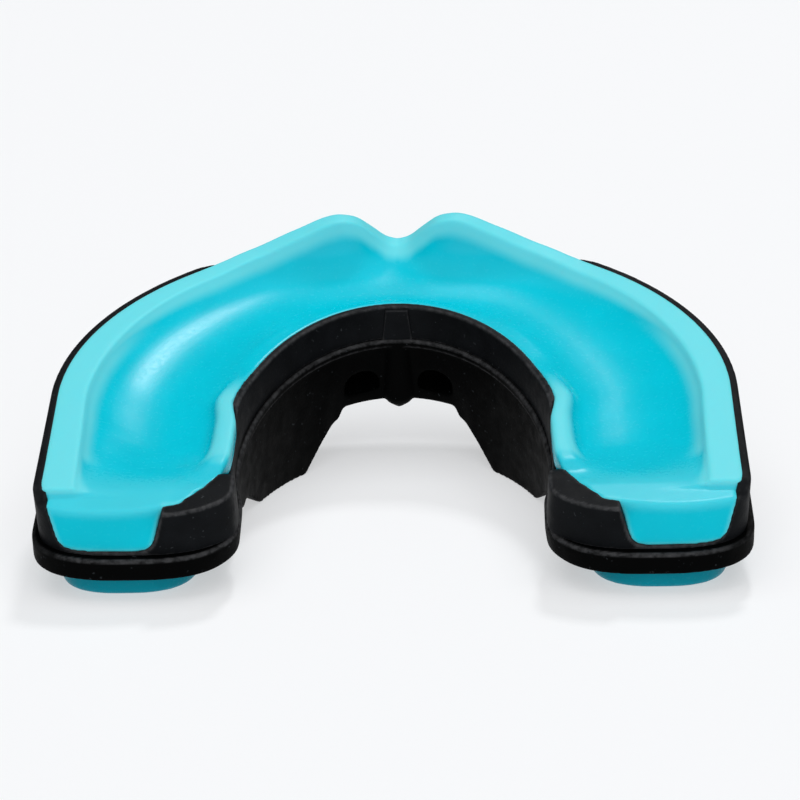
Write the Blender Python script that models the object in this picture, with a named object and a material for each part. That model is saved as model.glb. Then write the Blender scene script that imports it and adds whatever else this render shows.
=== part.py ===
"""Two-layer sports mouthguard: a soft gel liner in a rubber tray on a rubber bite frame.

The arch is drawn level, with the top of the bite frame at height 0, and is then tipped
so that it stands on its two rear bite pads and its front bite block.
Lengths in the constants are millimetres. +X is the right-hand side seen from the open
rear end, +Y points to the front teeth and +Z is up.
"""
from math import cos, pi, radians, sin

import bmesh
import bpy
from mathutils import Vector

MM = 0.001
GAP = 0.3                     # clearance between touching pieces

# Arch, seen from above: two half ellipses carried on as straight legs
INNER_HALF_WIDTH = 14.7
INNER_ARCH_DEPTH = 25.6
INNER_CENTRE_Y = -13.8
OUTER_HALF_WIDTH = 33.3
OUTER_ARCH_DEPTH = 31.9
OUTER_CENTRE_Y = -5.9
LEG_END_Y = -21.5             # where the rounded rear ends begin
END_DEPTH = 6.2               # how far the rounded ends reach behind that

# Heights above the top of the bite frame
FRAME_TOP = -GAP / 2
FRAME_BOTTOM = -2.3
SHELL_BOTTOM = GAP / 2
CAVITY_FLOOR = 1.2
SHELL_INSET = 0.75            # step between the frame's edge and the tray's outer wall
REAR_STEP = 0.9               # the same step at the rear ends
INNER_WALL = 0.8
OUTER_WALL = 1.0
OUTER_OVERHANG = 0.95         # the liner's edge laps over the tray's outer rim
REAR_WALL = 1.5
WALL_DRAFT = 0.2

# Stance
TILT = radians(13.5)
STANCE_DROP = 10.8            # from the frame's top at the origin down to the table

# Rear tongues of the liner and the notches they fill
NOTCH_TOP = (20.9, 31.0)
NOTCH_FLOOR = (22.0, 29.9)
NOTCH_HEIGHT = 3.75
NOTCH_REACH = (-31.0, -22.4)

# Bite pads under the legs
PAD_CENTRE = (24.2, -18.7)
PAD_HALF = (6.3, 7.5)
PAD_BULGE = 0.6
STEM_CENTRE = (24.2, -17.2)
STEM_HALF = (3.6, 4.2)

# Breathing vents and the pillar between them
VENT_CENTRE_X = 3.6
VENT_HALF = (1.6, 1.4)
VENT_CENTRE_Z = -5.1
PILLAR_HALF_WIDTH = 1.6
PILLAR_DEPTH = 1.2
PILLAR_Y = 12.4
PILLAR_BOTTOM = -8.2

# Key at the centre of the tray's inner wall
KEY_HALF_TOP = 0.85
KEY_HALF_BOTTOM = 1.25
KEY_TOP = 3.2
KEY_PROUD = 0.4

BLACK = (0.0075, 0.008, 0.0085, 1.0)
FRAME_BLACK = (0.006, 0.0065, 0.007, 1.0)
GEL = (0.004, 0.56, 0.72, 1.0)
PAD_GEL = (0.003, 0.50, 0.66, 1.0)

# Stations along half of the arch: 0 is the front centre, 1 the start of the straight
# leg, 2 the start of the rounded end and 3 its tip.
FRONT_END = 0.42
FRONT_STEPS = 12
ARCH_STEPS = 11
LEG_STEPS = 4
END_STATIONS = (2.15, 2.3, 2.45, 2.6, 2.74, 2.86)


def clear_scene():
    for item in list(bpy.data.objects):
        bpy.data.objects.remove(item, do_unlink=True)


def material(name, colour, roughness):
    mat = bpy.data.materials.new(name)
    mat.use_nodes = True
    shader = mat.node_tree.nodes["Principled BSDF"]
    shader.inputs["Base Color"].default_value = colour
    shader.inputs["Roughness"].default_value = roughness
    shader.inputs["Metallic"].default_value = 0.0
    return mat


def smoothstep(value):
    return value * value * (3.0 - 2.0 * value)


def profile(position, points):
    """A smooth height through (position, height) points, level beyond the ends."""
    if position <= points[0][0]:
        return points[0][1]
    for (left, low), (right, high) in zip(points, points[1:]):
        if position <= right:
            return low + (high - low) * smoothstep((position - left) / (right - left))
    return points[-1][1]


def rail(half_width, arch_depth, centre_y, s):
    if s <= 1.0:
        return Vector((half_width * sin(s * pi / 2), centre_y + arch_depth * cos(s * pi / 2)))
    return Vector((half_width, centre_y + (LEG_END_Y - centre_y) * (min(s, 2.0) - 1.0)))


def width_at(s):
    s = abs(s)
    inner = rail(INNER_HALF_WIDTH, INNER_ARCH_DEPTH, INNER_CENTRE_Y, s)
    outer = rail(OUTER_HALF_WIDTH, OUTER_ARCH_DEPTH, OUTER_CENTRE_Y, s)
    return (outer - inner).length


def place(s, across, height, end_depth):
    """The point this far across the arch, measured outwards from its inner edge."""
    side = -1.0 if s < 0 else 1.0
    s = abs(s)
    inner = rail(INNER_HALF_WIDTH, INNER_ARCH_DEPTH, INNER_CENTRE_Y, s)
    outer = rail(OUTER_HALF_WIDTH, OUTER_ARCH_DEPTH, OUTER_CENTRE_Y, s)
    width = (outer - inner).length
    along = (outer - inner) / width
    if s > 2.0:
        turn = (s - 2.0) * pi / 2
        squeeze = cos(turn)
        across = width / 2 + (across - width / 2) * squeeze
    spot = inner + along * across
    if s > 2.0:
        spot.y -= end_depth * sin(turn)
    return Vector((side * spot.x, spot.y, height))


def stations():
    fine = FRONT_END / FRONT_STEPS
    half = [k * fine for k in range(FRONT_STEPS)]
    half += [FRONT_END + (1.0 - FRONT_END) * k / ARCH_STEPS for k in range(ARCH_STEPS + 1)]
    half += [1.0 + k / LEG_STEPS for k in range(1, LEG_STEPS + 1)]
    half += list(END_STATIONS)
    return [-s for s in reversed(half[1:])] + half


def rounded(corners, steps=2):
    """Corners as (across, height, radius); each becomes an arc of steps + 1 points."""
    outline = []
    count = len(corners)
    for k in range(count):
        here = Vector(corners[k][:2])
        back = Vector(corners[k - 1][:2]) - here
        ahead = Vector(corners[(k + 1) % count][:2]) - here
        reach = min(corners[k][2], 0.48 * back.length, 0.48 * ahead.length)
        start = here + back.normalized() * reach
        end = here + ahead.normalized() * reach
        for j in range(steps + 1):
            f = j / steps
            outline.append(start * (1 - f) ** 2 + here * 2 * f * (1 - f) + end * f ** 2)
    return outline


def mesh_object(name, bm):
    bmesh.ops.recalc_face_normals(bm, faces=bm.faces)
    mesh = bpy.data.meshes.new(name)
    bm.to_mesh(mesh)
    bm.free()
    item = bpy.data.objects.new(name, mesh)
    bpy.context.scene.collection.objects.link(item)
    return item


def bridge(rings, name):
    """A closed body through equal rings of points, with flat caps."""
    bm = bmesh.new()
    rows = [[bm.verts.new(point * MM) for point in ring] for ring in rings]
    for first, second in zip(rows, rows[1:]):
        count = len(first)
        for k in range(count):
            bm.faces.new((first[k], first[(k + 1) % count], second[(k + 1) % count], second[k]))
    bm.faces.new(list(reversed(rows[0])))
    bm.faces.new(rows[-1])
    return mesh_object(name, bm)


def sweep(name, section, end_depth=END_DEPTH, steps=2):
    """A body with this cross-section all the way round the arch."""
    rings = []
    for s in stations():
        outline = rounded(section(abs(s)), steps)
        rings.append([place(s, point.x, point.y, end_depth) for point in outline])
    return bridge(rings, name)


def boolean(item, cutter, operation):
    step = item.modifiers.new(cutter.name, "BOOLEAN")
    step.operation = operation
    step.solver = "EXACT"
    step.object = cutter
    cutter.hide_render = True
    cutter.display_type = "WIRE"


def apply_shape(item):
    """Turn the modifiers into the mesh and drop the cutters they used."""
    cutters = [step.object for step in item.modifiers if step.type == "BOOLEAN"]
    graph = bpy.context.evaluated_depsgraph_get()
    mesh = bpy.data.meshes.new_from_object(item.evaluated_get(graph))
    item.modifiers.clear()
    item.data = mesh
    for cutter in set(cutters):
        bpy.data.objects.remove(cutter, do_unlink=True)


# ---- tray ---------------------------------------------------------------------------

def inner_rim(s):
    """The inner wall is taller around the front of the arch and steps down at the molars."""
    return profile(s, [(0.62, 3.5), (0.80, 3.9), (0.88, 2.7), (1.7, 2.7), (2.3, 3.5)])


def outer_rim(s):
    return profile(s, [(0.0, 3.2), (0.35, 3.7), (2.0, 3.7), (2.4, 3.5)])


def ledge(s):
    """Width of the frame's edge that shows below the tray's inner wall."""
    return profile(s, [(0.0, 0.3), (0.75, 0.45), (1.2, 0.4)])


def tray_block(s):
    width = width_at(s)
    low = SHELL_BOTTOM
    foot = ledge(s)
    return [(foot, low, 0.2), (width - SHELL_INSET - WALL_DRAFT, low, 0.2),
            (width - SHELL_INSET, outer_rim(s), 0.4), (foot + WALL_DRAFT, inner_rim(s), 0.35)]


def tray_cavity(s):
    width = width_at(s)
    top = 9.0
    left = ledge(s) + WALL_DRAFT + INNER_WALL
    right = width - SHELL_INSET - OUTER_WALL
    return [(left, CAVITY_FLOOR, 0.8), (right, CAVITY_FLOOR, 0.8), (right, top, 0.1), (left, top, 0.1)]


def notch_prisms(name, shrink, low, high):
    """One wedge-sided prism for each rear notch."""
    bm = bmesh.new()
    for side in (-1.0, 1.0):
        corners = []
        for z in (low, high):
            share = (z - SHELL_BOTTOM) / NOTCH_HEIGHT
            near = NOTCH_FLOOR[0] + (NOTCH_TOP[0] - NOTCH_FLOOR[0]) * share + shrink
            far = NOTCH_FLOOR[1] + (NOTCH_TOP[1] - NOTCH_FLOOR[1]) * share - shrink
            back, front = NOTCH_REACH
            for x, y in ((near, back), (far, back), (far, front), (near, front)):
                corners.append(bm.verts.new(Vector((side * x, y, z)) * MM))
        bottom, top = corners[:4], corners[4:]
        for k in range(4):
            bm.faces.new((bottom[k], bottom[(k + 1) % 4], top[(k + 1) % 4], top[k]))
        bm.faces.new(bottom)
        bm.faces.new(top)
    return mesh_object(name, bm)


def table_height(y):
    """Height of the table under the level arch, at a point that far forward."""
    return -(STANCE_DROP + y * sin(TILT)) / cos(TILT)


def oval_ring(side, centre, half, height, from_table=False, segments=20):
    ring = []
    for k in range(segments):
        turn = 2 * pi * k / segments
        x = side * (centre[0] + half[0] * cos(turn))
        y = centre[1] + half[1] * sin(turn)
        z = table_height(y) + height if from_table else height
        ring.append(Vector((x, y, z)))
    return ring


def stem_windows(name, low, high):
    """Cutters for the openings that the pads' stems pass through."""
    half = (STEM_HALF[0] + GAP, STEM_HALF[1] + GAP)
    cutters = []
    for side in (-1.0, 1.0):
        rings = [oval_ring(side, STEM_CENTRE, half, height) for height in (low, high)]
        cutters.append(bridge(rings, name))
    return cutters


def build_tray(mat):
    tray = sweep("upper_shell", tray_block, END_DEPTH - REAR_STEP)
    boolean(tray, sweep("tray_cavity", tray_cavity, END_DEPTH - REAR_STEP - REAR_WALL), "DIFFERENCE")
    boolean(tray, notch_prisms("tray_notches", 0.0, -1.0, 9.0), "DIFFERENCE")
    boolean(tray, key_prism("key_slot", GAP, KEY_TOP + 1.0), "DIFFERENCE")
    for window in stem_windows("tray_window", -1.0, 4.0):
        boolean(tray, window, "DIFFERENCE")
    apply_shape(tray)
    tray.data.materials.append(mat)
    return tray


# ---- gel liner ----------------------------------------------------------------------

def flange_top(s):
    """The outer edge: low in the middle for the lip's frenulum, between two humps."""
    return profile(s, [(0.0, 4.6), (0.14, 7.75), (0.40, 4.9), (2.05, 4.9), (2.3, 3.9)])


def liner_section(s):
    width = width_at(s)
    low = CAVITY_FLOOR + GAP
    left = ledge(s) + WALL_DRAFT + INNER_WALL + GAP
    right = width - SHELL_INSET - OUTER_WALL - GAP
    wall = profile(s, [(0.0, 2.1), (1.0, 2.5)])
    lip = profile(s, [(0.62, 3.4), (0.85, 4.4), (1.7, 4.4), (2.1, 3.9)])
    floor = profile(s, [(0.0, 2.4), (1.8, 2.5), (2.25, 3.6)])
    crest = flange_top(s)
    step = min(inner_rim(s) + GAP, lip - 0.5)
    lean = profile(s, [(0.84, 0.0), (0.92, 0.8), (1.6, 0.8), (2.1, 0.0)])
    outer_step = min(outer_rim(s) + GAP, crest - 0.3)
    over = profile(s, [(2.0, OUTER_OVERHANG), (2.2, 0.0)])
    return [
        (left, low, 0.8), (right, low, 0.8), (right, outer_step, 0.1),
        (right + over, outer_step, 0.1), (right + over, crest, 1.0),
        (right + over - wall + 0.2, crest, 1.0), (right + over - wall - 0.9, floor, 1.8),
        (left + 2.9 - lean, floor, 1.8), (left + 1.8 - lean, lip, 0.7), (left - lean, lip, 0.6),
        (left - lean, step, 0.1), (left, step, 0.1),
    ]


def build_liner(mat):
    liner = sweep("gel_liner", liner_section, END_DEPTH - REAR_STEP - REAR_WALL - GAP)
    tongue = sweep("rear_tongues", tongue_block, END_DEPTH - REAR_STEP)
    boolean(tongue, notch_prisms("tongue_sides", GAP, SHELL_BOTTOM + 0.05, 8.0), "INTERSECT")
    apply_shape(tongue)
    boolean(liner, tongue, "UNION")
    apply_shape(liner)
    liner.data.materials.append(mat)
    return liner


def tongue_block(s):
    width = width_at(s)
    low = SHELL_BOTTOM + 0.05
    top = profile(s, [(1.6, 2.6), (2.1, 3.7), (3.0, 3.7)])
    near = ledge(s)
    far = width - SHELL_INSET
    return [(near, low, 0.2), (far, low, 0.2), (far, top, 0.6), (near, top, 0.6)]


# ---- bite frame ---------------------------------------------------------------------

def block_bottom(s):
    """The front bite block: a shallow middle, a deep wing on each side, then level legs."""
    return profile(s, [(0.22, -7.5), (0.46, -13.5), (0.53, -13.0), (0.76, -7.6), (0.86, -6.2), (1.0, -2.5)])


def frame_section(s):
    width = width_at(s)
    bottom = block_bottom(s)
    taper = profile(s, [(0.7, 0.8), (1.0, 0.25)])
    back = profile(s, [(0.6, 2.4), (1.0, 0.4)])
    return [(0.0, FRAME_TOP, 0.25), (width, FRAME_TOP, 0.25), (width, FRAME_BOTTOM, 0.3),
            (width - back, bottom, 0.5), (taper, bottom, 0.5), (0.15, FRAME_BOTTOM, 0.3)]


def vent_slots():
    """Two rounded tunnels through the front block, to breathe through."""
    slots = []
    for side in (-1.0, 1.0):
        rings = []
        for y in (2.0, 34.0):
            ring = []
            for k in range(16):
                turn = 2 * pi * k / 16
                across = VENT_HALF[0] * abs(cos(turn)) ** 0.6 * (1 if cos(turn) > 0 else -1)
                rise = VENT_HALF[1] * abs(sin(turn)) ** 0.6 * (1 if sin(turn) > 0 else -1)
                ring.append(Vector((side * VENT_CENTRE_X + across, y, VENT_CENTRE_Z + rise)))
            rings.append(ring)
        slots.append(bridge(rings, "vent_slot"))
    return slots


def pillar():
    """Rounded pillar between the vents, pointed at its lower end."""
    outline = []
    for k in range(12):
        turn = 2 * pi * k / 12
        outline.append(Vector((PILLAR_HALF_WIDTH * cos(turn), PILLAR_Y + PILLAR_DEPTH * sin(turn))))
    rings = []
    shoulder = PILLAR_BOTTOM + 1.0
    for height, share in ((-1.2, 1.0), (shoulder, 1.0), (shoulder - 0.55, 0.72), (PILLAR_BOTTOM, 0.2)):
        rings.append([Vector((p.x * share, PILLAR_Y + (p.y - PILLAR_Y) * share, height)) for p in outline])
    return bridge(rings, "pillar")


def table_cutter():
    """A slab whose top is the table, below the level arch."""
    rings = []
    for y in (-60.0, 60.0):
        high = table_height(y)
        low = high - 30.0
        rings.append([Vector((x, y, z)) for x, z in ((-50, low), (50, low), (50, high), (-50, high))])
    return bridge(rings, "table_cutter")


def build_frame(mat):
    frame = sweep("lower_frame", frame_section)
    for slot in vent_slots():
        boolean(frame, slot, "DIFFERENCE")
    boolean(frame, pillar(), "UNION")
    for window in stem_windows("frame_window", -6.0, 2.0):
        boolean(frame, window, "DIFFERENCE")
    boolean(frame, table_cutter(), "DIFFERENCE")
    apply_shape(frame)
    frame.data.materials.append(mat)
    return frame


# ---- bite pads and key --------------------------------------------------------------

def build_pads(mat):
    top = FRAME_BOTTOM - 0.2 - GAP
    pads = []
    for side, name in ((-1.0, "bite_pad_left"), (1.0, "bite_pad_right")):
        rings = []
        for inset, rise in ((PAD_BULGE, 0.0), (0.2, 0.6), (0.0, 1.1)):
            half = (PAD_HALF[0] - inset, PAD_HALF[1] - inset)
            rings.append(oval_ring(side, PAD_CENTRE, half, rise, from_table=True))
        rings.append(oval_ring(side, PAD_CENTRE, PAD_HALF, top))
        rings.append(oval_ring(side, STEM_CENTRE, STEM_HALF, top))
        rings.append(oval_ring(side, STEM_CENTRE, STEM_HALF, CAVITY_FLOOR))
        pad = bridge(rings, name)
        pad.data.materials.append(mat)
        pads.append(pad)
    return pads


def key_prism(name, margin, top):
    """Wedge-sided key standing on the ledge, half let into the tray's inner wall."""
    wall = INNER_CENTRE_Y + INNER_ARCH_DEPTH + ledge(0.0)
    low = SHELL_BOTTOM - 3 * margin
    rings = []
    for y in (wall - KEY_PROUD - 4 * margin, wall + KEY_PROUD / 2 + margin):
        rings.append([Vector((x, y, z)) for x, z in (
            (-KEY_HALF_BOTTOM - margin, low), (KEY_HALF_BOTTOM + margin, low),
            (KEY_HALF_TOP + margin, top), (-KEY_HALF_TOP - margin, top))])
    return bridge(rings, name)


def build_key(mat):
    key = key_prism("centre_key", 0.0, KEY_TOP)
    edge = key.modifiers.new("edges", "BEVEL")
    edge.width = 0.12 * MM
    edge.segments = 1
    apply_shape(key)
    key.data.materials.append(mat)
    return key


def stand_up(pieces):
    """Tip the arch on to its pads and block, centred over the origin."""
    stance = bpy.data.objects.new("stance", None)
    bpy.context.scene.collection.objects.link(stance)
    stance.rotation_euler.x = TILT
    stance.location.z = STANCE_DROP * MM
    for piece in pieces:
        piece.parent = stance
    bpy.context.view_layer.update()
    reach = [(piece.matrix_world @ vert.co).y for piece in pieces for vert in piece.data.vertices]
    stance.location.y = -0.5 * (min(reach) + max(reach))


def main():
    clear_scene()
    tray_rubber = material("tray_rubber", BLACK, 0.55)
    frame_rubber = material("frame_rubber", FRAME_BLACK, 0.62)
    gel = material("liner_gel", GEL, 0.35)
    pad_gel = material("pad_gel", PAD_GEL, 0.4)
    pieces = [build_tray(tray_rubber), build_liner(gel), build_frame(frame_rubber), build_key(tray_rubber)]
    pieces += build_pads(pad_gel)
    for piece in pieces:
        piece.data.shade_smooth()
        piece.data.set_sharp_from_angle(angle=radians(35))
    stand_up(pieces)


main()
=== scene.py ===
"""Looks of the two-layer mouthguard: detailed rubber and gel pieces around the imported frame.

The arch is drawn level in millimetres, as in the frame's own design, and then tipped on to its stance.
"""
from math import cos, pi, radians, sin

import bmesh
import bpy
import numpy as np
from mathutils import Matrix, Vector


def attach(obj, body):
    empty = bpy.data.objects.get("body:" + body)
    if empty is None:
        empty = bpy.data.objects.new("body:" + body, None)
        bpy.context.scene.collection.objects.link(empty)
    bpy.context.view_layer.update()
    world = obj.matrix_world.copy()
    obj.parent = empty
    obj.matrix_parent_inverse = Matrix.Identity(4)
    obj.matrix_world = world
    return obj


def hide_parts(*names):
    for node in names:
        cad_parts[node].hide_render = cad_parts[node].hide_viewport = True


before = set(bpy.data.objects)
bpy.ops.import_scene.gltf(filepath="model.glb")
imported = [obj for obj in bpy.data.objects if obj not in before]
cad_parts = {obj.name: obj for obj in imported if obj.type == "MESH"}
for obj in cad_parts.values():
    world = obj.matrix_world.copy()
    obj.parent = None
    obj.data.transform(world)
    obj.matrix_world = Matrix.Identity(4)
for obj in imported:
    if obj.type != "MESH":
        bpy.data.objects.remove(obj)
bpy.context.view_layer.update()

MM = 0.001
FINE = 0.00018                # voxel of the finished pieces

# ---- the arch, as the frame has it (millimetres, top of the bite frame at height 0) ----
INNER_HALF_WIDTH = 14.7
INNER_ARCH_DEPTH = 25.6
INNER_CENTRE_Y = -13.8
OUTER_HALF_WIDTH = 33.3
OUTER_ARCH_DEPTH = 31.9
OUTER_CENTRE_Y = -5.9
LEG_END_Y = -21.5
END_DEPTH = 6.2
TILT = radians(13.5)
STANCE_DROP = 10.8
STANCE_Y = 0.506
STANCE = Matrix.Translation((0, STANCE_Y * MM, STANCE_DROP * MM)) @ Matrix.Rotation(TILT, 4, "X")

# ---- walls of the tray and the frame ----------------------------------------------------
SHELL_INSET = 0.45
REAR_STEP = 0.9
INNER_WALL = 0.8
OUTER_WALL = 1.0
REAR_WALL = 1.5
WALL_DRAFT = 0.2
CAVITY_FLOOR = 1.2
FRAME_TOP = -0.05
FRAME_BOTTOM = -2.3
TRAY_BOTTOM = -0.2            # a little inside the frame, so that no gap shows
CUT_TOP = 9.0                 # well above every rim

# ---- the rear notches, which run from an inner x to an outer x on each side -------------
NOTCH_TOP = (20.9, 31.2)
NOTCH_FLOOR = (22.0, 30.2)
NOTCH_HEIGHT = 3.75
NOTCH_REACH = (-31.0, -22.4)
NOTCH_BASE = 0.35
NOTCH_ROUND = 1.1
NOTCH_LEVELS = (0.35, 0.42, 0.55, 0.8, 1.15, 1.65, 2.4, 3.3)
TONGUE_LEVELS = NOTCH_LEVELS + (3.85, 4.1, 4.2, 4.25)
TONGUE_FRONT = -22.9          # where the tongue leaves the trough
TONGUE_REAR = -26.15          # its straight top edge, at the middle
TONGUE_MIDDLE = 25.8
TONGUE_HALF = 4.9
TONGUE_BOW = 0.75             # how far the top edge's ends are ahead of its middle
TONGUE_LAP = 0.03             # how far it presses into the notch's sides

# ---- vents, pillar and key at the front centre ------------------------------------------
VENT_CENTRE = (3.75, -5.5)
VENT_RADIUS = 1.75
VENT_FOOT = 0.9               # from the vent's centre down to its sill
VENT_REACH = (2.0, 34.0)
PILLAR_CENTRE_Y = 13.0
PILLAR_RADII = (1.6, 1.2)
PILLAR_STEPS = ((-0.5, 1.0), (-7.2, 1.0), (-7.8, 0.75), (-8.5, 0.15))     # height, share of radius
KEY_HALF = (1.5, 1.1)         # at its foot and at its top
KEY_HEIGHTS = (-0.1, 3.2)
KEY_DEPTH = (-0.3, 0.6)       # stands 0.3 out of the tray's inner face and reaches 0.6 into it

# ---- bite pads and the rounded ends of the legs ----------------------------------------
PAD_CENTRE = (24.65, -18.6)
PAD_HALF = (6.5, 7.5)
PAD_LAP = 0.2                 # how far a pad reaches into the frame
PAD_SQUARE = 2.7              # 2 is an ellipse, more is squarer
PAD_EDGE = ((0.55, 0.0), (0.25, 0.08), (0.08, 0.28), (0.0, 0.6))          # inset, height above the table
SQUARE_END = 0.75             # below 1, the ends of the legs are squarer than an ellipse


def smoothstep(value):
    return value * value * (3.0 - 2.0 * value)


def profile(position, points):
    """A smooth height through (position, height) points, level beyond the ends."""
    if position <= points[0][0]:
        return points[0][1]
    for (left, low), (right, high) in zip(points, points[1:]):
        if position <= right:
            return low + (high - low) * smoothstep((position - left) / (right - left))
    return points[-1][1]


def flowing(position, points):
    """A height that runs on through (position, height) points without overshooting them."""
    steps = [(b[1] - a[1]) / (b[0] - a[0]) for a, b in zip(points, points[1:])]
    slopes = [0.0]
    for first, second in zip(steps, steps[1:]):
        slopes.append(2 * first * second / (first + second) if first * second > 0 else 0.0)
    slopes.append(0.0)
    if position <= points[0][0]:
        return points[0][1]
    for k, (left, right) in enumerate(zip(points, points[1:])):
        if position <= right[0]:
            span = right[0] - left[0]
            f = (position - left[0]) / span
            return (left[1] * (1 + 2 * f) * (1 - f) ** 2 + slopes[k] * span * f * (1 - f) ** 2
                    + right[1] * f * f * (3 - 2 * f) + slopes[k + 1] * span * f * f * (f - 1))
    return points[-1][1]


def rail(half_width, arch_depth, centre_y, s):
    """A point on one edge of the arch: s is 0 at the front, 1 where the leg begins, 2 at its end."""
    if s <= 1.0:
        return Vector((half_width * sin(s * pi / 2), centre_y + arch_depth * cos(s * pi / 2)))
    return Vector((half_width, centre_y + (LEG_END_Y - centre_y) * (min(s, 2.0) - 1.0)))


def rails(s):
    inner = rail(INNER_HALF_WIDTH, INNER_ARCH_DEPTH, INNER_CENTRE_Y, s)
    outer = rail(OUTER_HALF_WIDTH, OUTER_ARCH_DEPTH, OUTER_CENTRE_Y, s)
    return inner, outer


def width_at(s):
    inner, outer = rails(s)
    return (outer - inner).length


def place(s, across, height, end_depth):
    """A point of the arch; stations past 2 run round the closed end of a leg."""
    side = -1.0 if s < 0 else 1.0
    s = abs(s)
    inner, outer = rails(s)
    width = (outer - inner).length
    along = (outer - inner) / width
    if s > 2.0:
        turn = (s - 2.0) * pi / 2
        across = width / 2 + (across - width / 2) * cos(turn) ** SQUARE_END
    spot = inner + along * across
    if s > 2.0:
        spot.y -= end_depth * sin(turn) ** SQUARE_END
    return Vector((side * spot.x, spot.y, height))


def stations():
    half = [k / 90 for k in range(91)]
    half += [1.0 + k / 16 for k in range(1, 17)]
    half += [2.0 + 0.97 * (k / 28) ** 1.4 for k in range(1, 29)]
    return [-s for s in reversed(half[1:])] + half


def rounded(corners, steps=7):
    """Corners as (across, height, radius); each becomes a curve of steps + 1 points."""
    outline = []
    count = len(corners)
    for k in range(count):
        here = Vector(corners[k][:2])
        back = Vector(corners[k - 1][:2]) - here
        ahead = Vector(corners[(k + 1) % count][:2]) - here
        reach = min(corners[k][2], 0.49 * back.length, 0.49 * ahead.length)
        start = here + back.normalized() * reach
        end = here + ahead.normalized() * reach
        for j in range(steps + 1):
            f = j / steps
            outline.append(start * (1 - f) ** 2 + here * 2 * f * (1 - f) + end * f ** 2)
    return outline


# ---- meshes -----------------------------------------------------------------------------

def mesh_object(name, bm):
    bmesh.ops.recalc_face_normals(bm, faces=bm.faces)
    mesh = bpy.data.meshes.new(name)
    bm.to_mesh(mesh)
    bm.free()
    item = bpy.data.objects.new(name, mesh)
    bpy.context.scene.collection.objects.link(item)
    return item


def bridge(rings, name):
    """A closed body through equal rings of points, with flat caps."""
    bm = bmesh.new()
    rows = [[bm.verts.new(point * MM) for point in ring] for ring in rings]
    for first, second in zip(rows, rows[1:]):
        count = len(first)
        for k in range(count):
            bm.faces.new((first[k], first[(k + 1) % count], second[(k + 1) % count], second[k]))
    bm.faces.new(list(reversed(rows[0])))
    bm.faces.new(rows[-1])
    return mesh_object(name, bm)


def sweep(name, section, end_depth=END_DEPTH):
    """A closed body with the given section carried round the whole arch."""
    rings = []
    for s in stations():
        outline = rounded(section(abs(s)))
        rings.append([place(s, point.x, point.y, end_depth) for point in outline])
    return bridge(rings, name)


def combine(item, cutter, operation):
    step = item.modifiers.new(cutter.name, "BOOLEAN")
    step.operation = operation
    step.solver = "EXACT"
    step.object = cutter


def apply_modifiers(item):
    helpers = {step.object for step in item.modifiers if step.type == "BOOLEAN"}
    graph = bpy.context.evaluated_depsgraph_get()
    mesh = bpy.data.meshes.new_from_object(item.evaluated_get(graph))
    item.modifiers.clear()
    item.data = mesh
    for helper in helpers:
        bpy.data.objects.remove(helper, do_unlink=True)


def melt(item, voxel=FINE, passes=6):
    """Turns sharp joined bodies into one moulded skin with soft edges."""
    step = item.modifiers.new("skin", "REMESH")
    step.mode = "VOXEL"
    step.voxel_size = voxel
    step.use_smooth_shade = True
    soften = item.modifiers.new("soften", "SMOOTH")
    soften.factor = 0.5
    soften.iterations = passes
    apply_modifiers(item)


def join(items, name):
    """One object of several separate bodies."""
    bm = bmesh.new()
    for item in items:
        bm.from_mesh(item.data)
        bpy.data.objects.remove(item, do_unlink=True)
    return mesh_object(name, bm)


# ---- tray -------------------------------------------------------------------------------

def inner_rim(s):
    return profile(s, [(0.62, 3.5), (0.84, 4.1), (0.895, 2.7), (1.45, 2.7), (1.84, 4.25)])


def outer_rim(s):
    return profile(s, [(0.0, 3.2), (0.28, 3.6), (0.43, 4.9), (2.08, 4.9), (2.2, 4.5), (2.27, 4.0)])


def ledge(s):
    """How far the tray's inner face stands back from the frame's inner edge."""
    return flowing(s, [(0.0, 0.45), (0.7, 0.45), (1.0, 0.28), (1.3, 0.06), (1.6, -0.2), (1.9, -0.5),
                       (2.15, -0.5), (2.5, 0.1)])


def inner_wall(s):
    """The tray's inner wall, which thickens into a shoulder at the rear."""
    return INNER_WALL + flowing(s, [(1.4, 0.0), (1.6, 0.25), (1.8, 0.85), (2.0, 1.85), (2.15, 2.6),
                                   (2.3, 2.8), (2.6, 1.5)])


def tray_block(s):
    width = width_at(s)
    foot = ledge(s)
    return [(foot, TRAY_BOTTOM, 0.05), (width - SHELL_INSET - WALL_DRAFT, TRAY_BOTTOM, 0.05),
            (width - SHELL_INSET, outer_rim(s), 0.25), (width - 3.0, outer_rim(s), 0.1),
            (width - 4.5, inner_rim(s), 0.1), (foot + WALL_DRAFT, inner_rim(s), 0.22)]


def tray_cavity(s):
    width = width_at(s)
    left = ledge(s) + WALL_DRAFT + inner_wall(s)
    right = width - SHELL_INSET - OUTER_WALL
    return [(left, CAVITY_FLOOR, 0.8), (right, CAVITY_FLOOR, 0.8), (right, CUT_TOP, 0.1),
            (left, CUT_TOP, 0.1)]


def notch_sides(z):
    """Where the inner and outer side of a rear notch stand at one height."""
    share = (z + 0.1) / NOTCH_HEIGHT
    near = NOTCH_FLOOR[0] + (NOTCH_TOP[0] - NOTCH_FLOOR[0]) * share
    far = NOTCH_FLOOR[1] + (NOTCH_TOP[1] - NOTCH_FLOOR[1]) * share
    depth = np.clip(NOTCH_ROUND - (z - NOTCH_BASE), 0.0, NOTCH_ROUND)
    curl = NOTCH_ROUND - np.sqrt(NOTCH_ROUND ** 2 - depth ** 2)
    return near + curl, far - curl


def notch_prisms():
    bodies = []
    back, front = NOTCH_REACH
    for side in (-1.0, 1.0):
        rings = []
        for z in NOTCH_LEVELS + (CUT_TOP,):
            near, far = notch_sides(z)
            rings.append([Vector((side * x, y, z)) for x, y in (
                (near, back), (far, back), (far, front), (near, front))])
        bodies.append(bridge(rings, "notches"))
    return join(bodies, "notches")


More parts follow.
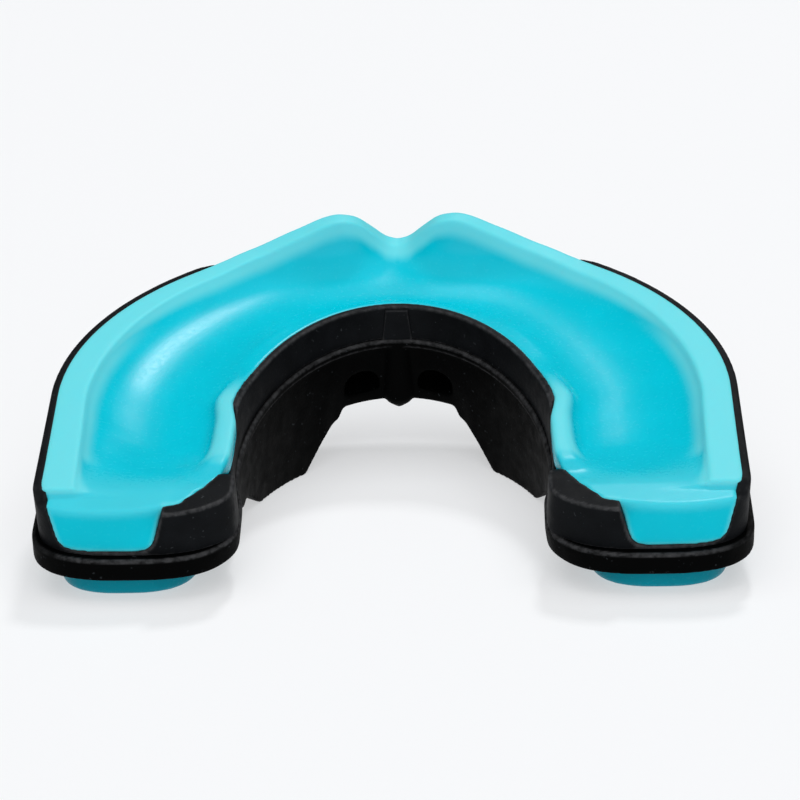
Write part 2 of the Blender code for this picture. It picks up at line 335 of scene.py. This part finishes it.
def make_tray():
    tray = sweep("tray", tray_block, END_DEPTH - REAR_STEP)
    combine(tray, sweep("cavity", tray_cavity, END_DEPTH - REAR_STEP - REAR_WALL), "DIFFERENCE")
    combine(tray, notch_prisms(), "DIFFERENCE")
    apply_modifiers(tray)
    melt(tray, passes=3)
    return tray


# ---- gel liner --------------------------------------------------------------------------

def flange_top(s):
    return flowing(s, [(0.0, 4.65), (0.022, 4.95), (0.052, 6.15), (0.09, 7.5), (0.125, 7.85), (0.21, 6.75),
                       (0.31, 5.5), (0.45, 4.95), (2.19, 4.95), (2.26, 4.1)])


def liner_section(s):
    """Outline across the trough, from the cavity floor over the outer flange to the inner lip."""
    width = width_at(s)
    crest = flange_top(s)
    low = CAVITY_FLOOR - 0.1
    left = ledge(s) + WALL_DRAFT + inner_wall(s) - 0.1
    right = width - SHELL_INSET - OUTER_WALL + 0.05

    # outer flange
    edge = width - SHELL_INSET - profile(s, [(0.30, 0.2), (0.43, 0.65), (2.2, 0.65), (2.27, 1.0)])
    crown = edge - profile(s, [(0.0, 2.1), (0.35, 2.2), (0.9, 3.1)])
    crown_round = profile(s, [(0.35, 1.5), (0.9, 1.1)])
    outer_step = min(outer_rim(s) - 0.5, crest - 0.6)

    # inner lip, which leans over the tray's low rim on the legs
    lip = flowing(s, [(0.60, 3.4), (0.93, 4.5), (1.58, 4.5), (1.8, 3.95), (1.92, 4.0), (2.1, 4.28)])
    lip_edge = flowing(s, [(0.8, 0.3), (1.0, 0.24), (1.2, 0.28), (1.4, 0.4), (1.6, 0.72), (1.8, 1.22),
                           (1.9, 1.7), (2.0, 3.0)])
    inside = left - max(0.0, left - lip_edge) * profile(s, [(0.82, 0.0), (0.94, 1.0)])
    lip_width = profile(s, [(0.6, 0.9), (0.95, 1.8)])
    inner_step = min(inner_rim(s) - 0.15, lip - 0.4)

    # trough floor and the bank that climbs from it to the flange
    floor = flowing(s, [(0.0, 2.9), (0.5, 2.65), (0.9, 2.3), (1.15, 2.35), (1.4, 2.7), (1.7, 3.3),
                        (2.1, 4.25)])
    start = inside + lip_width + 0.9
    lowest = start + (crown - start) * profile(s, [(0.05, 0.12), (0.45, 0.36)])
    rise = min(5.0 - floor, 2.0 * (crest - floor))
    slope = profile(s, [(0.05, 0.28), (0.4, 0.0)])
    bank = flowing(s, [(0.0, 0.25), (0.6, 0.7), (1.1, 0.7), (1.5, 0.5), (2.1, 0.4)])
    power = profile(s, [(0.0, 4.0), (0.35, 5.0), (0.9, 13.0)])
    inner_bank = profile(s, [(0.1, 0.0), (0.5, 0.75)]) - profile(s, [(1.5, 0.0), (2.0, 0.75)])

    outline = [
        (left, low, 0.8),
        (right, low, 0.8),
        (right, outer_step, 0.1),
        (edge, outer_step, 0.1),
        (edge, crest, 0.6),
        (crown, crest, crown_round),
    ]
    for share in (0.975, 0.94, 0.89, 0.82, 0.72, 0.6, 0.45, 0.25):
        height = rise * (slope * share + bank * share ** 2)
        height += (crest - floor - rise * (slope + bank)) * share ** power
        outline.append((lowest + (crown - lowest) * share, floor + height, 0.8))
    outline += [
        (lowest, floor, 1.5),
        (lowest + (start - lowest) * 0.55, floor + 0.3 * inner_bank, 1.2),
        (start, floor + inner_bank, 1.2),
        (inside + lip_width, lip - 0.05, 0.7),
        (inside, lip, 0.45),
        (inside, inner_step, 0.2),
        (left, inner_step, 0.1),
    ]
    return outline


def tongue(side, name):
    """The gel that fills one rear notch; its rear face leans forward to a straight top edge."""
    rings = []
    middle = (INNER_HALF_WIDTH + OUTER_HALF_WIDTH) / 2
    half = middle - INNER_HALF_WIDTH
    for z in TONGUE_LEVELS:
        near, far = notch_sides(z)
        near -= TONGUE_LAP
        far += TONGUE_LAP
        lean = smoothstep((z - NOTCH_BASE) / 3.8)
        crown = 0.4 * max(0.0, (z - 3.85) / 0.4) ** 2.5
        ring = [Vector((side * far, TONGUE_FRONT, z)), Vector((side * near, TONGUE_FRONT, z))]
        for k in range(33):
            x = near + (far - near) * k / 32
            bow = (1.0 - (abs(x - middle) / half) ** (2.0 / SQUARE_END)) ** (SQUARE_END / 2.0)
            curved = LEG_END_Y - (END_DEPTH - REAR_STEP) * bow - 0.02
            straight = TONGUE_REAR + TONGUE_BOW * ((x - TONGUE_MIDDLE) / TONGUE_HALF) ** 2
            ring.append(Vector((side * x, curved + (straight - curved) * lean + crown, z)))
        rings.append(ring)
    return bridge(rings, name)


def make_liner():
    liner = sweep("liner", liner_section, END_DEPTH - REAR_STEP - REAR_WALL + 0.1)
    liner = join([liner, tongue(-1.0, "tongue_left"), tongue(1.0, "tongue_right")], "liner")
    melt(liner, passes=5)
    return liner


# ---- bite frame -------------------------------------------------------------------------

def table_height(y):
    """Where the table is, in the level arch's own height."""
    return -(STANCE_DROP + y * sin(TILT)) / cos(TILT)


def block_bottom(s):
    """Underside of the frame: shallow at the centre, deep in the two wings, thin along the legs."""
    return profile(s, [(0.225, -7.6), (0.255, -8.8), (0.48, -13.5), (0.58, -13.2), (0.84, -7.2),
                       (1.0, -4.6), (1.3, FRAME_BOTTOM)])


def frame_section(s):
    width = width_at(s)
    bottom = block_bottom(s)
    inner = -profile(s, [(1.1, 0.0), (1.6, 0.65), (2.0, 0.65), (2.4, 0.2)])
    taper = profile(s, [(0.24, 1.1), (0.33, 0.6), (0.7, 0.7), (1.0, 0.2)])
    back = profile(s, [(0.6, 2.4), (1.0, 0.4)])
    bead = profile(s, [(0.85, 0.5), (1.15, 0.04)])
    return [(inner, FRAME_TOP, 0.12), (width, FRAME_TOP, 0.15), (width, FRAME_BOTTOM, 0.3),
            (width - back, bottom, 0.5), (inner + taper, bottom, 0.3), (inner + bead, -1.2, 0.12),
            (inner + bead, -1.0, 0.1), (inner, -0.92, 0.12)]


def vent_slots():
    """Cutters for the two arched breathing vents."""
    slots = []
    for side in (-1.0, 1.0):
        rings = []
        for y in VENT_REACH:
            ring = []
            for k in range(32):
                turn = 2 * pi * k / 32
                across = VENT_RADIUS * abs(cos(turn)) ** 0.75 * (1 if cos(turn) > 0 else -1)
                rise = VENT_RADIUS * sin(turn) if sin(turn) > 0 else -VENT_FOOT * abs(sin(turn)) ** 0.4
                ring.append(Vector((side * VENT_CENTRE[0] + across, y, VENT_CENTRE[1] + rise)))
            rings.append(ring)
        slots.append(bridge(rings, "slot"))
    return slots


def pillar():
    """The rounded pillar between the vents, which ends in a blunt tip."""
    rings = []
    wide, deep = PILLAR_RADII
    for height, share in PILLAR_STEPS:
        ring = []
        for k in range(28):
            turn = 2 * pi * k / 28
            y = PILLAR_CENTRE_Y + deep * share * sin(turn)
            ring.append(Vector((wide * share * cos(turn), y, height)))
        rings.append(ring)
    return bridge(rings, "pillar")


def table_cutter():
    rings = []
    for y in (-60.0, 60.0):
        high = table_height(y)
        low = high - 30.0
        rings.append([Vector((x, y, z)) for x, z in ((-50, low), (50, low), (50, high), (-50, high))])
    return bridge(rings, "table")


def make_frame():
    body = sweep("bite_frame", frame_section)
    for slot in vent_slots():
        combine(body, slot, "DIFFERENCE")
    combine(body, pillar(), "UNION")
    combine(body, table_cutter(), "DIFFERENCE")
    apply_modifiers(body)
    melt(body, passes=3)
    return body


# ---- bite pads and key ------------------------------------------------------------------

def make_pad(side, name):
    """A flat gel pad from the table up into the underside of the frame."""
    rings = []
    for inset, rise in PAD_EDGE:
        ring = []
        for k in range(96):
            turn = 2 * pi * k / 96
            bulge = (abs(cos(turn)) ** PAD_SQUARE + abs(sin(turn)) ** PAD_SQUARE) ** (-1 / PAD_SQUARE)
            x = side * (PAD_CENTRE[0] + (PAD_HALF[0] - inset) * bulge * cos(turn))
            y = PAD_CENTRE[1] + (PAD_HALF[1] - inset) * bulge * sin(turn)
            ring.append(Vector((x, y, table_height(y) + rise)))
        rings.append(ring)
    rings.append([Vector((point.x, point.y, FRAME_BOTTOM + PAD_LAP)) for point in rings[-1]])
    pad = bridge(rings, name)
    melt(pad, passes=3)
    return pad


def make_key():
    wall = INNER_CENTRE_Y + INNER_ARCH_DEPTH + ledge(0.0)
    foot, top = KEY_HALF
    low, high = KEY_HEIGHTS
    rings = []
    for step in KEY_DEPTH:
        rings.append([Vector((x, wall + step, z)) for x, z in (
            (-foot, low), (foot, low), (top, high), (-top, high))])
    key = bridge(rings, "key")
    melt(key, voxel=0.0001, passes=3)
    return key


# ---- attributes for the materials -------------------------------------------------------

def level_points(item):
    count = len(item.data.vertices)
    flat = np.empty(count * 3)
    item.data.vertices.foreach_get("co", flat)
    return flat.reshape(-1, 3) / MM


def paint(item, name, values):
    layer = item.data.attributes.new(name, "FLOAT", "POINT")
    layer.data.foreach_set("value", np.asarray(values, dtype=np.float32))


def station_of(points):
    """How far round the arch each point is, read on the outer rail."""
    x = np.abs(points[:, 0]) / OUTER_HALF_WIDTH
    y = (points[:, 1] - OUTER_CENTRE_Y) / OUTER_ARCH_DEPTH
    turn = np.arctan2(x, np.maximum(y, 1e-6)) / (pi / 2)
    leg = 1.0 + (OUTER_CENTRE_Y - points[:, 1]) / (OUTER_CENTRE_Y - LEG_END_Y)
    return np.where(points[:, 1] > OUTER_CENTRE_Y, turn, leg)


def ramp(values, low, high):
    share = np.clip((values - low) / (high - low), 0.0, 1.0)
    return share * share * (3 - 2 * share)


def edge_sharpness(item):
    """How sharply each point stands out from its neighbours, 0 on flat skin."""
    mesh = item.data
    points = level_points(item)
    pairs = np.empty(len(mesh.edges) * 2, dtype=np.int64)
    mesh.edges.foreach_get("vertices", pairs)
    pairs = pairs.reshape(-1, 2)
    total = np.zeros_like(points)
    count = np.zeros(len(points))
    for near, far in ((0, 1), (1, 0)):
        np.add.at(total, pairs[:, near], points[pairs[:, far]])
        np.add.at(count, pairs[:, near], 1.0)
    normals = np.empty(len(points) * 3)
    mesh.vertex_normals.foreach_get("vector", normals)
    step = FINE / MM
    return ((points - total / count[:, None]) * normals.reshape(-1, 3)).sum(axis=1) / step


def paint_liner(item):
    """Marks where paler gel is painted: painted glow and highlight on the flange, lips, rear ends, rounded
    edges and the edges of the tongues.
    """
    points = level_points(item)
    s = station_of(points)
    crest = np.array([flange_top(value) for value in s])
    reach = np.interp(s, [0.0, 0.06, 0.14, 0.4, 0.9], [0.9, 1.7, 2.1, 1.3, 0.7])
    edge = ramp(points[:, 2], crest - reach, crest - 0.4 * reach) * (1.0 - ramp(s, 2.17, 2.25))
    lip = ramp(points[:, 2], 3.5, 4.25) * ramp(s, 0.6, 0.85) * (1.0 - ramp(s, 1.66, 1.80))
    rear = 0.35 * ramp(s, 1.5, 2.2) * ramp(points[:, 2], 3.2, 4.2)
    # painted highlight on the rounded convex edges
    beads = 0.55 * ramp(edge_sharpness(item), 0.05, 0.16)
    near, far = notch_sides(points[:, 2])
    x = abs(points[:, 0])
    rim = np.minimum(np.minimum(x - near, far - x), points[:, 2] - NOTCH_BASE)
    rim = 0.6 * (1.0 - ramp(rim, 0.0, 0.55)) * (1.0 - ramp(points[:, 1], -24.6, -24.0))
    # painted light: the gel is made paler where light would glow through it or catch it
    painted_glow = np.maximum(np.maximum(edge, lip * 0.9), np.maximum(np.maximum(beads, rim), rear))
    paint(item, "painted_glow", np.clip(painted_glow, 0, 1))


def paint_rubber(item):
    """Marks the sharp edges of the black pieces for a painted highlight, fainter on the outside."""
    points = level_points(item)
    arch = np.maximum(points[:, 1] - OUTER_CENTRE_Y, 0.0) / OUTER_ARCH_DEPTH
    outside = ramp(np.hypot(points[:, 0] / OUTER_HALF_WIDTH, arch), 0.88, 0.94)
    # painted highlight on the sharp edges above the foot of the bead
    edge_glint = ramp(edge_sharpness(item), 0.02, 0.10) * ramp(points[:, 2], -1.7, -1.3)
    paint(item, "edge_glint", edge_glint * (1.0 - 0.7 * outside))


# ---- materials --------------------------------------------------------------------------

class Nodes:
    """Short calls for building one node material."""

    def __init__(self, name):
        self.mat = bpy.data.materials.new(name)
        self.mat.use_nodes = True
        self.tree = self.mat.node_tree
        self.shader = self.tree.nodes["Principled BSDF"]

    def add(self, kind, **values):
        node = self.tree.nodes.new(kind)
        for key, value in values.items():
            setattr(node, key, value)
        return node

    def link(self, a, b):
        self.tree.links.new(a, b)

    def noise(self, scale, detail=3.0, rough=0.55):
        node = self.add("ShaderNodeTexNoise")
        node.inputs["Scale"].default_value = scale
        node.inputs["Detail"].default_value = detail
        node.inputs["Roughness"].default_value = rough
        self.link(self.coord.outputs["Object"], node.inputs["Vector"])
        return node.outputs["Fac"]

    @property
    def coord(self):
        for node in self.tree.nodes:
            if node.type == "TEX_COORD":
                return node
        return self.add("ShaderNodeTexCoord")

    def remap(self, value, low, high, to_low, to_high):
        node = self.add("ShaderNodeMapRange")
        self.link(value, node.inputs["Value"])
        for key, number in (("From Min", low), ("From Max", high), ("To Min", to_low), ("To Max", to_high)):
            node.inputs[key].default_value = number
        return node.outputs["Result"]

    def mix(self, share, first, second):
        node = self.add("ShaderNodeMix", data_type="RGBA")
        self.link(share, node.inputs["Factor"])
        for socket, value in ((node.inputs["A"], first), (node.inputs["B"], second)):
            if isinstance(value, tuple):
                socket.default_value = value
            else:
                self.link(value, socket)
        return node.outputs["Result"]

    def bump(self, height, distance, strength=1.0, below=None):
        node = self.add("ShaderNodeBump")
        node.inputs["Distance"].default_value = distance
        node.inputs["Strength"].default_value = strength
        self.link(height, node.inputs["Height"])
        if below is not None:
            self.link(below, node.inputs["Normal"])
        return node.outputs["Normal"]


def gel_material(name, deep, pale, has_painted_glow):
    make = Nodes(name)
    shader = make.shader
    cloud = make.noise(160.0, 3.0)
    lighter = tuple(c * 1.06 for c in deep[:3]) + (1.0,)
    clouded = make.mix(make.remap(cloud, 0.35, 0.7, 0.0, 1.0), deep, lighter)
    rough = make.remap(make.noise(2600.0, 3.0), 0.3, 0.75, 0.21, 0.30)
    colour = clouded
    if has_painted_glow:
        # mixes in the paler colour where the attribute marks painted glow and highlight
        painted_glow = make.add("ShaderNodeAttribute", attribute_name="painted_glow").outputs["Fac"]
        colour = make.mix(painted_glow, clouded, pale)
        matt = make.add("ShaderNodeMath", operation="MULTIPLY_ADD")
        matt.inputs[1].default_value = 0.22
        make.link(painted_glow, matt.inputs[0])
        make.link(rough, matt.inputs[2])
        rough = matt.outputs[0]
    make.link(colour, shader.inputs["Base Color"])
    grain = make.noise(5200.0, 2.0)
    make.link(rough, shader.inputs["Roughness"])
    make.link(make.bump(grain, 0.00003, 0.17), shader.inputs["Normal"])
    shader.inputs["Subsurface Weight"].default_value = 0.3
    shader.inputs["Subsurface Radius"].default_value = (0.1, 1.0, 1.2)
    shader.inputs["Subsurface Scale"].default_value = 0.0010
    shader.inputs["IOR"].default_value = 1.45
    shader.inputs["Specular IOR Level"].default_value = 0.09
    return make.mat


def rubber_material(name, black, dust, rough, shine):
    make = Nodes(name)
    shader = make.shader
    mottled = make.mix(make.remap(make.noise(350.0, 4.0), 0.35, 0.7, 0.0, 1.0), black,
                       tuple(c * 1.7 for c in black[:3]) + (1.0,))
    speck = make.remap(make.noise(2600.0, 2.0, 0.4), 0.70, 0.76, 0.0, 0.5)
    edge_glint = make.add("ShaderNodeAttribute", attribute_name="edge_glint").outputs["Fac"]
    broken = make.add("ShaderNodeMath", operation="MULTIPLY")
    make.link(edge_glint, broken.inputs[0])
    make.link(make.remap(make.noise(1500.0, 3.0), 0.3, 0.65, 0.15, 0.75), broken.inputs[1])
    # painted highlight: light grey on the marked edges, broken up by noise
    glinting = make.mix(broken.outputs[0], mottled, EDGE_GLINT_GREY)
    make.link(make.mix(speck, glinting, dust), shader.inputs["Base Color"])
    uneven = make.remap(make.noise(700.0, 4.0), 0.3, 0.7, rough - 0.08, rough + 0.10)
    make.link(uneven, shader.inputs["Roughness"])
    pores = make.bump(make.noise(3800.0, 3.0), 0.00004, 0.6)
    waves = make.bump(make.noise(260.0, 2.0), 0.0001, 0.35, pores)
    make.link(waves, shader.inputs["Normal"])
    shader.inputs["IOR"].default_value = 1.5
    shader.inputs["Specular IOR Level"].default_value = shine
    return make.mat


# ---- finished pieces --------------------------------------------------------------------

def finish_piece(item, name, node, slot, mat):
    """Tips a level piece on to its stance, gives it its material, puts it under the root body and hides the
    CAD node it replaces.
    """
    item.name = name
    if slot.endswith("rubber"):
        paint_rubber(item)
    item.data.transform(STANCE)
    item.data.materials.clear()
    item.data.materials.append(mat)
    item.data.shade_smooth()
    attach(item, "root")
    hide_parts(node)


GEL_DEEP = (0.0, 0.50, 0.63, 1.0)
# paler gel colour for the painted glow and highlight on crests and edges
GEL_GLOW_PALE = (0.135, 0.67, 0.75, 1.0)
# painted shade: the pads use the liner's gel at about half its brightness, for the shade under the frame
PAD_SHADED_GEL = (0.0, 0.25, 0.33, 1.0)
TRAY_BLACK = (0.0042, 0.0048, 0.0056, 1.0)
TRAY_DUST = (0.05, 0.055, 0.06, 1.0)
# about ten times darker than the tray's black, partly as painted shade on the frame's block under the
# tray's rim
FRAME_BLACK = (0.0004, 0.0005, 0.0005, 1.0)
FRAME_DUST = (0.04, 0.045, 0.05, 1.0)
# light grey of the painted edge highlight on the black rubber
EDGE_GLINT_GREY = (0.062, 0.063, 0.066, 1.0)

gel = gel_material("liner_gel_skin", GEL_DEEP, GEL_GLOW_PALE, True)
pad_gel = gel_material("pad_gel_skin", PAD_SHADED_GEL, GEL_GLOW_PALE, False)
tray_rubber = rubber_material("tray_rubber_skin", TRAY_BLACK, TRAY_DUST, 0.50, 0.03)
frame_rubber = rubber_material("frame_rubber_skin", FRAME_BLACK, FRAME_DUST, 0.56, 0.022)

liner = make_liner()
paint_liner(liner)
finish_piece(liner, "liner_skin", "gel_liner", "liner_gel", gel)
finish_piece(make_tray(), "tray_skin", "upper_shell", "tray_rubber", tray_rubber)
finish_piece(make_frame(), "frame_skin", "lower_frame", "frame_rubber", frame_rubber)
finish_piece(make_key(), "key_skin", "centre_key", "tray_rubber", tray_rubber)
finish_piece(make_pad(-1.0, "pad_left"), "pad_left_skin", "bite_pad_left", "pad_gel", pad_gel)
finish_piece(make_pad(1.0, "pad_right"), "pad_right_skin", "bite_pad_right", "pad_gel", pad_gel)


# ---- floor, light and camera ------------------------------------------------------------

def make_floor():
    """White ground, just below the table height so that the pads stand clear of it."""
    bm = bmesh.new()
    bmesh.ops.create_grid(bm, x_segments=1, y_segments=1, size=4.0)
    floor = mesh_object("floor", bm)
    floor.location.z = -0.05 * MM
    mat = bpy.data.materials.new("floor_white")
    mat.use_nodes = True
    shader = mat.node_tree.nodes["Principled BSDF"]
    shader.inputs["Base Color"].default_value = (0.40, 0.405, 0.415, 1.0)
    shader.inputs["Emission Color"].default_value = (0.98, 0.99, 1.0, 1.0)
    shader.inputs["Emission Strength"].default_value = 0.515
    shader.inputs["Roughness"].default_value = 0.9
    floor.data.materials.append(mat)


def area_light(name, place_at, aim, size, power):
    data = bpy.data.lights.new(name, "AREA")
    data.shape = "RECTANGLE"
    data.size, data.size_y = size
    data.energy = power
    lamp = bpy.data.objects.new(name, data)
    lamp.location = place_at
    lamp.rotation_mode = "QUATERNION"
    lamp.rotation_quaternion = (Vector(aim) - Vector(place_at)).to_track_quat("-Z", "Y")
    bpy.context.scene.collection.objects.link(lamp)


def make_light():
    middle = (0.0, 0.0, 0.012)
    area_light("softbox_back", (0.17, 0.765, 1.16), middle, (0.16, 0.24), 6.6)
    area_light("softbox_top", (0.0, -0.4, 1.90), middle, (2.2, 2.0), 26.0)
    area_light("softbox_front", (0.15, -1.9, 1.1), middle, (1.8, 1.2), 22.0)
    world = bpy.data.worlds.new("studio")
    world.use_nodes = True
    sky = world.node_tree.nodes["Background"]
    sky.inputs["Color"].default_value = (0.95, 0.96, 1.0, 1.0)
    sky.inputs["Strength"].default_value = 0.08
    bpy.context.scene.world = world
    bpy.context.scene.view_settings.view_transform = "Standard"


CAMERA_AIM = Vector((0.43, STANCE_Y, STANCE_DROP)) * MM
CAMERA_DISTANCE = 0.315
CAMERA_AZIMUTH = radians(1.375)
CAMERA_ELEVATION = radians(17.5)
CAMERA_ROLL = radians(-1.216)
CAMERA_LENS = 144.67


def make_camera():
    data = bpy.data.cameras.new("camera")
    data.lens = CAMERA_LENS
    data.sensor_width = 36.0
    data.clip_start = 0.01
    data.clip_end = 20.0
    camera = bpy.data.objects.new("camera", data)
    a, e = CAMERA_AZIMUTH, CAMERA_ELEVATION
    back = Vector((sin(a) * cos(e), -cos(a) * cos(e), sin(e)))
    camera.location = CAMERA_AIM + back * CAMERA_DISTANCE
    turn = (-back).to_track_quat("-Z", "Y").to_matrix() @ Matrix.Rotation(CAMERA_ROLL, 3, "Z")
    camera.rotation_mode = "QUATERNION"
    camera.rotation_quaternion = turn.to_quaternion()
    bpy.context.scene.collection.objects.link(camera)
    bpy.context.scene.camera = camera


make_floor()
make_light()
make_camera()
